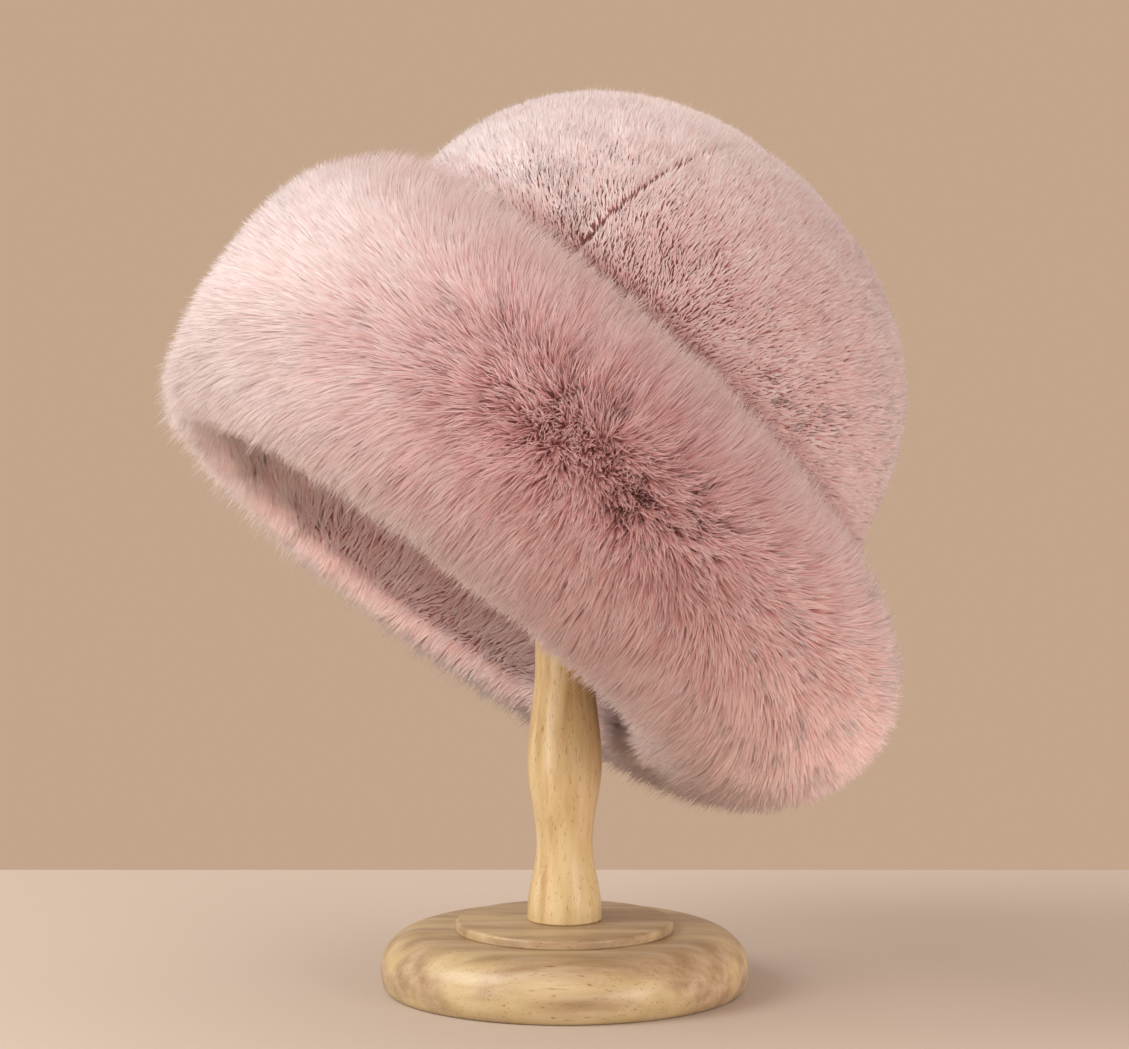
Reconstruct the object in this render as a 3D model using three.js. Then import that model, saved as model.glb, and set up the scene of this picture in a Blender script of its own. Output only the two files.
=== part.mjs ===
// Faux fur bucket hat on a turned wooden hat stand. Millimetres, +Z up.
// The origin is the centre of the stand's underside and the viewer stands at -Y.
// The hat is built upright about its own axis, with height 0 just above the cuff's fullest ring,
// and is then leaned over onto the stand, whose post grows to meet it.
import * as THREE from 'three';
import { mergeVertices } from 'three/addons/utils/BufferGeometryUtils.js';

// Hat: head opening and walls
const headRadius = 92;
const liningThickness = 1.2;
const plushThickness = 6;
const pieceGap = 0.3;

// Hat: crown
const crownRingHeight = 37;
const crownDomeHeight = 87.5;
const crownSquareness = 2.15;
const goreCount = 6;
const firstSeamAngle = -117;
const seamRollDepth = 2.6;
const seamFadeRadius = 22;
const goreTipRadius = 1.2;
const goreTipLeast = 0.9;

// Hat: fur cuff, measured from the hat's height 0
const cuffReach = 42.8;
const cuffReachToRight = 12;
const cuffMiddleHeight = -10;
const cuffTopAboveMiddle = 42;
const cuffTopLean = 2;
const cuffRimBelowMiddle = 62;
const cuffRimLean = 12;
const rimDroop = 5.5;
const rimDroopAngle = 100;
const furBelowWall = 9;
const hemHeight = 36;
const hemPile = 6;
const hemRoundHeight = 16;
const lockDepth = 5.5;
const hemLockDepth = 3;
const locksAround = 44;
const lockRings = 3;
const rowsPerLock = 3;
const ridgeRootSink = 0.55;
const grooveTipRise = 0.25;

// Hat: how it leans on the stand
const tiltToRight = 43.2;
const leanBack = 13.4;
const furAboveTable = 64.4;
const crownAxisAside = -2.5;
const seatGap = 0.8;

// Stand: base
const baseDiameter = 130;
const baseThickness = 21;
const baseFootInset = 3;
const baseBellyShare = 0.36;
const baseShoulderWidth = 15;
const discDiameter = 77;
const discThickness = 3.5;
const discEdgeRound = 1.2;

// Stand: post, from the disc up to its neck, then plain up to the head
const turnedLength = 92;
const footDiameter = 26.2;
const waistDiameter = 19.8;
const swellDiameter = 26.2;
const neckDiameter = 20.6;
const tenonDiameter = 12;
const tenonLength = 13;
const jointGap = 0.2;

// Stand: head
const headFormDiameter = 96;
const headFormHeight = 34;
const headFormEdge = 6;

// Number of facets
const liningSides = 40;
const baseSides = 36;
const postSides = 20;
const headSides = 24;
const domeRows = 9;
const wallRows = 1;
const cornerSteps = 4;
const seatHalvings = 30;

const radians = THREE.MathUtils.degToRad;
const lerp = THREE.MathUtils.lerp;

// Columns of a gore, as shares of its half width, close together where the seam rolls in.
const goreColumns = [-1, -0.9, -0.6, -0.3, 0, 0.3, 0.6, 0.9, 1];
const goreSteps = goreColumns.slice(1).map((share, step) => share - goreColumns[step]);
const widestGoreStep = Math.max(...goreSteps) * Math.PI / goreCount;

// A flat facet lies this far inside the true round.
const facetSag = (radius, step) => radius * (1 - Math.cos(step / 2));

const plushInnerRadius = headRadius + liningThickness + pieceGap + facetSag(headRadius, widestGoreStep);
const plushOuterRadius = plushInnerRadius + plushThickness;
const cuffSeatRadius = plushOuterRadius + pieceGap;
const hemSeatRadius = plushInnerRadius - pieceGap - facetSag(plushInnerRadius, widestGoreStep);
const rimHeight = cuffMiddleHeight - cuffRimBelowMiddle;
const wallEndHeight = rimHeight + furBelowWall;
const hemTopHeight = rimHeight + hemHeight;
const baseTopHeight = baseThickness + discThickness;

const plushMaterial = new THREE.MeshStandardMaterial({ color: '#d5aaa4', roughness: 0.9, metalness: 0 });
const furMaterial = new THREE.MeshStandardMaterial({ color: '#cf9f99', roughness: 0.85, metalness: 0 });
const liningMaterial = new THREE.MeshStandardMaterial({ color: '#b08f74', roughness: 0.8, metalness: 0 });
const woodMaterial = new THREE.MeshStandardMaterial({ color: '#d9b27c', roughness: 0.4, metalness: 0 });

// Three.js turns a lathe about Y, so the solid is tipped up to +Z.
function turned(profile, sides) {
  const points = profile.map(([radius, height]) => new THREE.Vector2(radius, height));
  return new THREE.LatheGeometry(points, sides).rotateX(Math.PI / 2);
}

// Quarter of an ellipse between two corner points, without its first point.
// It leaves the start along the height where upright is true, and along the radius where it isn't.
function quarter([fromRadius, fromHeight], [toRadius, toHeight], upright, steps) {
  const points = [];
  for (let step = 1; step <= steps; step += 1) {
    const angle = step / steps * Math.PI / 2;
    const rise = Math.sin(angle);
    const turn = 1 - Math.cos(angle);
    const radiusShare = upright ? turn : rise;
    const heightShare = upright ? rise : turn;
    points.push([lerp(fromRadius, toRadius, radiusShare), lerp(fromHeight, toHeight, heightShare)]);
  }
  return points;
}

// Closed solid between two grids of points, each a list of rows that run the same way.
function slab(front, back) {
  const rows = front.length - 1;
  const columns = front[0].length - 1;
  const backStart = front.flat().length;
  const at = (row, column, side) => side * backStart + row * (columns + 1) + column;
  const index = [];
  const quad = (a, b, c, d) => index.push(a, b, c, a, c, d);
  for (let row = 0; row < rows; row += 1) {
    for (let column = 0; column < columns; column += 1) {
      quad(at(row, column, 0), at(row, column + 1, 0), at(row + 1, column + 1, 0), at(row + 1, column, 0));
      quad(at(row, column, 1), at(row + 1, column, 1), at(row + 1, column + 1, 1), at(row, column + 1, 1));
    }
    quad(at(row, 0, 1), at(row, 0, 0), at(row + 1, 0, 0), at(row + 1, 0, 1));
    quad(at(row, columns, 0), at(row, columns, 1), at(row + 1, columns, 1), at(row + 1, columns, 0));
  }
  for (let column = 0; column < columns; column += 1) {
    quad(at(0, column, 1), at(0, column + 1, 1), at(0, column + 1, 0), at(0, column, 0));
    quad(at(rows, column, 0), at(rows, column + 1, 0), at(rows, column + 1, 1), at(rows, column, 1));
  }
  const geometry = new THREE.BufferGeometry().setFromPoints([...front.flat(), ...back.flat()]);
  geometry.setIndex(index);
  return geometry;
}

// The hat's lower edge isn't square to its axis. Below the cuff's middle every piece follows it:
// it is lowest on the left, and it droops a little more at the back left.
function leanRim(geometry) {
  const position = geometry.attributes.position;
  for (let vertex = 0; vertex < position.count; vertex += 1) {
    const point = new THREE.Vector3().fromBufferAttribute(position, vertex);
    const share = Math.max(0, (cuffMiddleHeight - point.z) / cuffRimBelowMiddle);
    const angle = Math.atan2(point.y, point.x);
    const droop = rimDroop * Math.max(0, Math.cos(angle - radians(rimDroopAngle))) ** 2;
    position.setZ(vertex, point.z + share * (cuffRimLean * Math.cos(angle) - droop));
  }
  return geometry;
}

// Rows up the crown: a straight wall to its widest ring, then a slightly squared dome.
// Each row is a share of the dome's radius with a height, for a shell this far inside the plush.
function crownRow(row, inset, lowest) {
  if (row <= wallRows) {
    return { share: 1, height: lerp(lowest, crownRingHeight, row / wallRows) };
  }
  const angle = (row - wallRows) / domeRows * Math.PI / 2;
  return {
    share: Math.max(0, Math.cos(angle)) ** (2 / crownSquareness),
    height: crownRingHeight + (crownDomeHeight - inset) * Math.sin(angle) ** (2 / crownSquareness),
  };
}

// One side of a gore. Its long edges run beside planes through the hat's axis, half a gap away.
function goreSide(middleAngle, radius, inset, rollDepth) {
  const halfAngle = Math.PI / goreCount;
  const grid = [];
  for (let row = 0; row <= wallRows + domeRows; row += 1) {
    const { share, height } = crownRow(row, inset, wallEndHeight);
    const reach = Math.max(share * radius, goreTipRadius);
    const fade = Math.min(1, reach / seamFadeRadius);
    grid.push(goreColumns.map((column) => {
      const roll = Math.abs(column) === 1 ? rollDepth * fade : 0;
      const rowReach = Math.max(reach - roll * share, goreTipLeast);
      const spread = halfAngle - Math.asin(pieceGap / 2 / rowReach);
      const angle = middleAngle + column * spread;
      const sink = roll * Math.sqrt(1 - share * share);
      return new THREE.Vector3(rowReach * Math.cos(angle), rowReach * Math.sin(angle), height - sink);
    }));
  }
  return grid;
}

function crownGoreGeometry(gore) {
  const middleAngle = radians(firstSeamAngle) + (gore + 0.5) * 2 * Math.PI / goreCount;
  const front = goreSide(middleAngle, plushOuterRadius, 0, seamRollDepth);
  const back = goreSide(middleAngle, plushInnerRadius, plushThickness, 0);
  return leanRim(slab(front, back));
}

function liningShell(radius, inset) {
  const shell = [];
  for (let row = 0; row <= wallRows + domeRows; row += 1) {
    const { share, height } = crownRow(row, inset, hemTopHeight + pieceGap);
    shell.push([share * radius, height]);
  }
  return shell;
}

const liningInset = plushThickness + pieceGap;
const domeInset = liningInset + liningThickness;

function crownLiningGeometry() {
  const outside = liningShell(headRadius + liningThickness, liningInset);
  const inside = liningShell(headRadius, domeInset);
  return leanRim(turned([...inside.reverse(), ...outside], liningSides));
}

// Locks lie in staggered rings. Each rises from its root to its tip and drops to the next ring's roots.
// The cuff's middle, where the locks part, and its edges are rows of tips.
function lockSink(column, row, depth) {
  const rowOfTips = row + rowsPerLock - 1;
  const ring = Math.floor(rowOfTips / rowsPerLock);
  const rise = (rowOfTips % rowsPerLock) / (rowsPerLock - 1);
  const onRidge = (column + ring) % 2 === 0;
  return depth * (onRidge ? ridgeRootSink * (1 - rise) : 1 - grooveTipRise * rise);
}

// Section of the cuff, anticlockwise: up the fur's outside, down and around the crown's wall,
// up to the hem inside the hat and down the short fur there. Each point knows how its locks lie:
// the row counted from where the locks part, the way out of the fur, and its share of the side's swell.
function cuffSection() {
  const section = [];
  const halfRows = lockRings * rowsPerLock;
  for (let step = -halfRows; step <= halfRows; step += 1) {
    const angle = step / halfRows * Math.PI / 2;
    const side = step < 0 ? cuffRimBelowMiddle : cuffTopAboveMiddle;
    section.push({
      radius: cuffSeatRadius + cuffReach * Math.cos(angle),
      height: cuffMiddleHeight + side * Math.sin(angle),
      out: [Math.cos(angle), Math.sin(angle)],
      row: Math.abs(step),
      depth: lockDepth,
      swell: Math.cos(angle),
      lift: cuffTopLean * Math.max(0, Math.sin(angle)),
    });
  }
  const plain = { out: [0, 0], row: 0, depth: 0, swell: 0, lift: 0 };
  const channelFloor = wallEndHeight - pieceGap;
  section.push({ ...plain, radius: cuffSeatRadius, height: cuffMiddleHeight });
  section.push({ ...plain, radius: cuffSeatRadius, height: channelFloor });
  section.push({ ...plain, radius: hemSeatRadius, height: channelFloor });
  section.push({ ...plain, radius: hemSeatRadius, height: hemTopHeight });
  const hemRadius = hemSeatRadius - hemPile;
  const hemRows = 2 * rowsPerLock;
  for (let row = 0; row < rowsPerLock; row += 1) {
    const height = lerp(hemTopHeight, rimHeight + hemRoundHeight, row / rowsPerLock);
    const out = [-1, 0];
    section.push({ ...plain, radius: hemRadius, height, out, row, depth: hemLockDepth });
  }
  for (let row = rowsPerLock; row < hemRows; row += 1) {
    const angle = (row - rowsPerLock) / rowsPerLock * Math.PI / 2;
    const radius = cuffSeatRadius - (cuffSeatRadius - hemRadius) * Math.cos(angle);
    const height = rimHeight + hemRoundHeight * (1 - Math.sin(angle));
    const out = [-Math.cos(angle), -Math.sin(angle)];
    section.push({ ...plain, radius, height, out, row, depth: hemLockDepth });
  }
  return section;
}

function furCuffGeometry() {
  const section = cuffSection();
  const profile = [...section, section[0]].map(({ radius, height }) => [radius, height]);
  const geometry = turned(profile, 2 * locksAround);
  const position = geometry.attributes.position;
  for (let vertex = 0; vertex < position.count; vertex += 1) {
    const column = Math.floor(vertex / profile.length);
    const { out, row, depth, swell, lift } = section[vertex % profile.length % section.length];
    const rightness = position.getX(vertex) / Math.hypot(position.getX(vertex), position.getY(vertex));
    const sink = lockSink(column, row, depth);
    const radius = Math.hypot(position.getX(vertex), position.getY(vertex));
    const newRadius = radius + swell * cuffReachToRight * rightness - out[0] * sink;
    position.setX(vertex, position.getX(vertex) * newRadius / radius);
    position.setY(vertex, position.getY(vertex) * newRadius / radius);
    position.setZ(vertex, position.getZ(vertex) + lift * rightness - out[1] * sink);
  }
  return leanRim(geometry);
}

// The hat's axis leans to the right and a little back. The lowest fur then sets the hat's height.
function hatPlace(cuff) {
  const tilt = radians(tiltToRight);
  const lean = radians(leanBack);
  const upright = Math.cos(lean);
  const up = new THREE.Vector3(Math.sin(tilt) * upright, Math.sin(lean), Math.cos(tilt) * upright);
  const across = new THREE.Vector3(up.z, 0, -up.x).normalize();
  const away = new THREE.Vector3().crossVectors(up, across);
  const place = new THREE.Matrix4().makeBasis(across, away, up);
  const leant = cuff.clone().applyMatrix4(place);
  leant.computeBoundingBox();
  return place.setPosition(crownAxisAside, 0, furAboveTable - leant.boundingBox.min.z);
}

// How far a point in the hat's own frame lies inside the lining, to first order near it.
function liningRoom(point) {
  const acrossShare = Math.hypot(point.x, point.y) / headRadius;
  const upShare = Math.max(0, point.z - crownRingHeight) / (crownDomeHeight - domeInset);
  const fullness = (acrossShare ** crownSquareness + upShare ** crownSquareness) ** (1 / crownSquareness);
  const scale = fullness ** (1 - crownSquareness);
  const acrossSlope = scale * acrossShare ** (crownSquareness - 1) / headRadius;
  const upSlope = scale * upShare ** (crownSquareness - 1) / (crownDomeHeight - domeInset);
  return (1 - fullness) / Math.hypot(acrossSlope, upSlope);
}

// Outline of the stand's head above its flat underside: a rolled edge, then a round dome.
function headFormOutline() {
  const edgeRadius = headFormDiameter / 2;
  const domeHeight = headFormHeight - headFormEdge;
  const domeRadius = (edgeRadius ** 2 + domeHeight ** 2) / (2 * domeHeight);
  const domeAngle = Math.asin(edgeRadius / domeRadius);
  const start = [edgeRadius - headFormEdge, 0];
  const outline = [start, ...quarter(start, [edgeRadius, headFormEdge], false, cornerSteps)];
  for (let row = 1; row <= domeRows; row += 1) {
    const angle = domeAngle * (1 - row / domeRows);
    const rise = domeRadius * Math.cos(angle) - (domeRadius - domeHeight);
    outline.push([domeRadius * Math.sin(angle), headFormEdge + rise]);
  }
  return outline;
}

// Highest place of the head's underside at which its whole outline keeps the seat's gap to the lining.
function headFormHeightInHat(place) {
  const intoHat = place.clone().invert();
  const outline = headFormOutline();
  const roomAt = (base) => {
    let least = Infinity;
    for (let side = 0; side < headSides; side += 1) {
      const angle = side / headSides * 2 * Math.PI;
      for (const [radius, height] of outline) {
        const point = new THREE.Vector3(radius * Math.cos(angle), radius * Math.sin(angle), base + height);
        least = Math.min(least, liningRoom(point.applyMatrix4(intoHat)));
      }
    }
    return least;
  };
  const hatHeight = place.elements[14];
  let low = hatHeight - headFormHeight;
  let high = hatHeight + crownDomeHeight;
  for (let halving = 0; halving < seatHalvings; halving += 1) {
    const middle = (low + high) / 2;
    if (roomAt(middle) > seatGap) {
      low = middle;
    } else {
      high = middle;
    }
  }
  return low;
}

function standHeadGeometry(base) {
  const socketRadius = tenonDiameter / 2 + jointGap;
  const ceiling = tenonLength + jointGap;
  const socket = [[0, ceiling], [socketRadius, ceiling], [socketRadius, 0]];
  return turned([...socket, ...headFormOutline()], headSides).translate(0, 0, base);
}

// Turned outline of the post: each stretch swings evenly from one diameter to the next.
const postTurnings = [
  { from: 0.03, to: 0.3, fromDiameter: footDiameter, toDiameter: waistDiameter },
  { from: 0.3, to: 0.6, fromDiameter: waistDiameter, toDiameter: swellDiameter },
  { from: 0.6, to: 1, fromDiameter: swellDiameter, toDiameter: neckDiameter },
];

function standPostGeometry(headBase) {
  const foot = baseTopHeight + jointGap;
  const top = headBase - jointGap;
  const tenonRadius = tenonDiameter / 2;
  const profile = [[0, foot - tenonLength], [tenonRadius, foot - tenonLength], [tenonRadius, foot]];
  profile.push([footDiameter / 2, foot]);
  for (const { from, to, fromDiameter, toDiameter } of postTurnings) {
    const steps = cornerSteps + 1;
    for (let step = 0; step < steps; step += 1) {
      const swing = (1 - Math.cos(step / steps * Math.PI)) / 2;
      const height = foot + turnedLength * lerp(from, to, step / steps);
      profile.push([lerp(fromDiameter, toDiameter, swing) / 2, height]);
    }
  }
  profile.push([neckDiameter / 2, foot + turnedLength], [neckDiameter / 2, top]);
  profile.push([tenonRadius, top], [tenonRadius, top + tenonLength], [0, top + tenonLength]);
  return turned(profile, postSides);
}

function standBaseGeometry() {
  const edgeRadius = baseDiameter / 2;
  const discRadius = discDiameter / 2;
  const socketRadius = tenonDiameter / 2 + jointGap;
  const socketFloor = baseTopHeight - tenonLength;
  const underside = [edgeRadius - baseFootInset, 0];
  const belly = [edgeRadius, baseThickness * baseBellyShare];
  const shoulder = [edgeRadius - baseShoulderWidth, baseThickness];
  const discSide = [discRadius, baseTopHeight - discEdgeRound];
  const discTop = [discRadius - discEdgeRound, baseTopHeight];
  return turned([
    [0, 0],
    underside,
    ...quarter(underside, belly, false, cornerSteps - 1),
    ...quarter(belly, shoulder, true, cornerSteps + 2),
    [discRadius, baseThickness],
    discSide,
    ...quarter(discSide, discTop, true, cornerSteps - 2),
    [socketRadius, baseTopHeight],
    [socketRadius, socketFloor],
    [0, socketFloor],
  ], baseSides);
}

const hatOnStand = new THREE.Group();

// Every mesh is one closed body, so its points are shared between its faces.
function addPiece(name, geometry, material) {
  geometry.deleteAttribute('normal');
  geometry.deleteAttribute('uv');
  const piece = new THREE.Mesh(mergeVertices(geometry), material);
  piece.name = name;
  hatOnStand.add(piece);
}

const furCuff = furCuffGeometry();
const place = hatPlace(furCuff);
const headBase = headFormHeightInHat(place);

for (let gore = 0; gore < goreCount; gore += 1) {
  addPiece(`crown_gore_${gore + 1}`, crownGoreGeometry(gore).applyMatrix4(place), plushMaterial);
}
addPiece('crown_lining', crownLiningGeometry().applyMatrix4(place), liningMaterial);
addPiece('fur_cuff', furCuff.applyMatrix4(place), furMaterial);
addPiece('stand_head', standHeadGeometry(headBase), woodMaterial);
addPiece('stand_post', standPostGeometry(headBase), woodMaterial);
addPiece('stand_base', standBaseGeometry(), woodMaterial);

export default hatOnStand;
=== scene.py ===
# Faux fur bucket hat on a turned wooden hat stand, dressed for the camera.
# Sizes are in metres, and in millimetres where a name ends in _mm or _MM. Angles are in radians, and in
# degrees where a name or its comment says so.
import math

import bpy
import numpy as np
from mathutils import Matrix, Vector


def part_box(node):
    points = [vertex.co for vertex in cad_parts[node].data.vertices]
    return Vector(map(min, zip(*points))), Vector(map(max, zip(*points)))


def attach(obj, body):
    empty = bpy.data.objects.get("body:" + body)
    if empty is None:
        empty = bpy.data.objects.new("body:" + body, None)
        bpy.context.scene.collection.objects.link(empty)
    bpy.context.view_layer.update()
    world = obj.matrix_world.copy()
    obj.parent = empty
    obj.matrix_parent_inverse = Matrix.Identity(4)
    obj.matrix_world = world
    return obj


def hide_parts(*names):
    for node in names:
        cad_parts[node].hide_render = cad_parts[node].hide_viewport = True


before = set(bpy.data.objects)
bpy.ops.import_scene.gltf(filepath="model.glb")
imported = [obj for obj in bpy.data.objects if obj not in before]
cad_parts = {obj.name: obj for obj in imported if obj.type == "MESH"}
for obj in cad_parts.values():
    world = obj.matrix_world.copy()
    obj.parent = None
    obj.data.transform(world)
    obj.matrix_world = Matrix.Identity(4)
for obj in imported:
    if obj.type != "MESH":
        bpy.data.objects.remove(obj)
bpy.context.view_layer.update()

MM = 0.001
FULL_TURN = 2 * math.pi
QUARTER_TURN = math.pi / 2
SEED = 7127

# How the hat leans on the stand, as in the part's source
TILT_TO_RIGHT = math.radians(43.2)
LEAN_BACK = math.radians(13.4)
HAT_CENTRE = np.array([-2.5, 0.0, 193.07]) * MM

# Crown and lining, with heights from the hat's centre up its own axis
HEAD_RADIUS = 92 * MM
LINING_THICKNESS = 1.2 * MM
LINING_INNER_INSET = 7.5 * MM
LINING_OUTER_INSET = 6.3 * MM
CROWN_INNER_RADIUS = 93.8 * MM
CROWN_INNER_INSET = 6 * MM
CROWN_OUTER_RADIUS = 99.8 * MM
CROWN_RING_HEIGHT = 37 * MM
CROWN_DOME_HEIGHT = 87.5 * MM
CROWN_SQUARENESS = 2.15
WALL_END_HEIGHT = -63 * MM
GORES = 6
GORE_ANGLE = FULL_TURN / GORES
FIRST_SEAM = math.radians(-117)
# How open each seam lies in the pile, from the first one on
SEAM_OPENNESS = np.array([1.0, 0.45, 0.8, 1.0, 0.6, 0.9])

# Cuff and hem, with heights from the hat's centre up its own axis
CUFF_SEAT_RADIUS = 100.1 * MM
CUFF_INNER_SEAT = 93.5 * MM
CUFF_REACH = 42.8 * MM
CUFF_REACH_TO_RIGHT = 12 * MM
CUFF_MIDDLE_HEIGHT = -10 * MM
CUFF_TOP_ABOVE = 42 * MM
CUFF_TOP_LEAN = 2 * MM
CUFF_RIM_BELOW = 62 * MM
CUFF_RIM_LEAN = 12 * MM
RIM_DROOP = 5.5 * MM
RIM_DROOP_ANGLE = math.radians(100)
RIM_HEIGHT = CUFF_MIDDLE_HEIGHT - CUFF_RIM_BELOW
CUFF_TOP_HEIGHT = CUFF_MIDDLE_HEIGHT + CUFF_TOP_ABOVE
HEM_RADIUS = 93.2 * MM
HEM_TOP_HEIGHT = -36 * MM
HEM_ROUND_RISE = 4 * MM

# Depth of the cuff's pile on the side, and how much less of it there is under the rim
CUFF_PILE_DEPTH_MM = 13
CUFF_PILE_LOST_AT_RIM_MM = 5.5
# Depth of the crown's pile: from the tips to the roots, and to the backing
CROWN_ROOT_DEPTH = 4.2 * MM
CROWN_BACKING_DEPTH = 3.8 * MM


# Frame of the hat

def hat_basis():
    """The hat's own x, y and z directions, one in each row."""
    upright = math.cos(LEAN_BACK)
    up = Vector((
        math.sin(TILT_TO_RIGHT) * upright,
        math.sin(LEAN_BACK),
        math.cos(TILT_TO_RIGHT) * upright,
    ))
    across = Vector((up.z, 0, -up.x)).normalized()
    away = up.cross(across)
    return np.array([across, away, up])


HAT_BASIS = hat_basis()


def lean_rim(points):
    """Below the cuff's middle every piece of the hat follows the leaning rim."""
    share = np.maximum(0, (CUFF_MIDDLE_HEIGHT - points[:, 2]) / CUFF_RIM_BELOW)
    angle = np.arctan2(points[:, 1], points[:, 0])
    droop = RIM_DROOP * np.maximum(0, np.cos(angle - RIM_DROOP_ANGLE)) ** 2
    leant = points.copy()
    leant[:, 2] += share * (CUFF_RIM_LEAN * np.cos(angle) - droop)
    return leant


def into_world(points):
    return points @ HAT_BASIS + HAT_CENTRE


def turn_to_world(directions):
    return directions @ HAT_BASIS


def unit(vectors):
    return vectors / np.maximum(np.linalg.norm(vectors, axis=1, keepdims=True), 1e-12)


def around_axis(radius, theta, height):
    """Points in the hat's frame at these radii, angles and heights."""
    return np.stack([radius * np.cos(theta), radius * np.sin(theta), height], axis=1)


def axis_distance(points):
    return np.hypot(points[:, 0], points[:, 1])


def widen(points, factor):
    """Moves each point out from the hat's axis by its own factor."""
    return points * np.stack([factor, factor, np.ones(len(points))], axis=1)


def smooth_step(low, high, value):
    share = np.clip((value - low) / (high - low), 0, 1)
    return share * share * (3 - 2 * share)


# Materials

def linear(hex_colour):
    """sRGB hex to the linear colour that a shader takes."""
    shares = [int(hex_colour[i:i + 2], 16) / 255 for i in (1, 3, 5)]
    return [s / 12.92 if s <= 0.04045 else ((s + 0.055) / 1.055) ** 2.4 for s in shares] + [1.0]


def add_node(tree, kind, settings=None, links=None):
    """One node with its settings and links. A setting named or numbered as an input is that input's value."""
    made = tree.nodes.new(kind)
    for name, value in (settings or {}).items():
        if isinstance(name, int) or name in made.inputs.keys():
            made.inputs[name].default_value = value
        else:
            setattr(made, name, value)
    for name, output in (links or {}).items():
        tree.links.new(output, made.inputs[name])
    return made


def new_material(name):
    material = bpy.data.materials.new(name)
    material.use_nodes = True
    material.node_tree.nodes.clear()
    return material


def set_ramp(ramp_node, stops):
    """Colour stops as (place, hex colour)."""
    elements = ramp_node.color_ramp.elements
    while len(elements) > 1:
        elements.remove(elements[-1])
    elements[0].position = stops[0][0]
    elements[0].color = linear(stops[0][1])
    for place, colour in stops[1:]:
        elements.new(place).color = linear(colour)


def fur_material(name, stops, patch_size_mm, patch_strength, strand_strength, sheen):
    """Acrylic pile, dark at its root and pale at its tips, and light passes through the strands. The dark
    roots partly paint the shade deep in the pile, and the pale tips partly paint light shining through them.
    The stops run from root to tip. Whole patches and single strands are paler or darker by the two strengths."""
    material = new_material(name)
    tree = material.node_tree
    along = add_node(tree, "ShaderNodeAttribute", {"attribute_name": "along"})
    tone = add_node(tree, "ShaderNodeAttribute", {"attribute_name": "tone"})
    place = add_node(tree, "ShaderNodeTexCoord")
    patches = add_node(tree, "ShaderNodeTexNoise", {
        "Scale": 1 / (patch_size_mm * MM),
        "Detail": 2.0,
    }, {"Vector": place.outputs["Object"]})
    shifted = add_node(tree, "ShaderNodeMath", {
        "operation": "MULTIPLY_ADD",
        1: patch_strength,
        2: -patch_strength / 2,
    }, {0: patches.outputs["Fac"]})
    strand = add_node(tree, "ShaderNodeMath", {
        "operation": "MULTIPLY_ADD",
        1: strand_strength,
        2: -strand_strength / 2,
    }, {0: tone.outputs["Fac"]})
    both = add_node(tree, "ShaderNodeMath", {"operation": "ADD"}, {
        0: shifted.outputs[0],
        1: strand.outputs[0],
    })
    height = add_node(tree, "ShaderNodeMath", {"operation": "ADD", "use_clamp": True}, {
        0: along.outputs["Fac"],
        1: both.outputs[0],
    })
    ramp = add_node(tree, "ShaderNodeValToRGB", None, {"Fac": height.outputs[0]})
    set_ramp(ramp, stops)
    shader = add_node(tree, "ShaderNodeBsdfPrincipled", {
        "Roughness": 0.62,
        "IOR": 1.49,
        "Specular IOR Level": 0.25,
        "Sheen Weight": sheen,
        "Sheen Roughness": 0.45,
        "Sheen Tint": linear("#ffe6dd"),
        "Subsurface Weight": 0.5,
        "Subsurface Radius": (1.0, 1.0, 1.0),
        "Subsurface Scale": 1.1 * MM,
    }, {"Base Color": ramp.outputs["Color"]})
    add_node(tree, "ShaderNodeOutputMaterial", None, {"Surface": shader.outputs[0]})
    return material


def lining_material():
    """Polyester lining: a fine plain weave, a little glossy, tan."""
    material = new_material("woven_polyester_lining")
    tree = material.node_tree
    place = add_node(tree, "ShaderNodeTexCoord")
    tones = add_node(tree, "ShaderNodeTexNoise", {"Scale": 60.0, "Detail": 3.0}, {
        "Vector": place.outputs["Object"],
    })
    ramp = add_node(tree, "ShaderNodeValToRGB", None, {"Fac": tones.outputs["Fac"]})
    set_ramp(ramp, [(0.3, "#9c7556"), (0.7, "#b48b69")])
    # Threads are drawn 0.5 mm apart, several times the real spacing, so that they show.
    thread_spacing = 0.5 * MM
    weave_scale = 1 / thread_spacing / FULL_TURN * 2
    warp, weft = (
        add_node(tree, "ShaderNodeTexWave", {"bands_direction": axis, "Scale": weave_scale}, {
            "Vector": place.outputs["Object"],
        })
        for axis in "ZX"
    )
    weave = add_node(tree, "ShaderNodeMath", {"operation": "MULTIPLY"}, {
        0: warp.outputs["Fac"],
        1: weft.outputs["Fac"],
    })
    bump = add_node(tree, "ShaderNodeBump", {"Strength": 0.3, "Distance": 0.2 * MM}, {
        "Height": weave.outputs[0],
    })
    shader = add_node(tree, "ShaderNodeBsdfPrincipled", {
        "Roughness": 0.5,
        "IOR": 1.54,
        "Sheen Weight": 0.2,
    }, {"Base Color": ramp.outputs["Color"], "Normal": bump.outputs[0]})
    add_node(tree, "ShaderNodeOutputMaterial", None, {"Surface": shader.outputs[0]})
    return material


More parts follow.
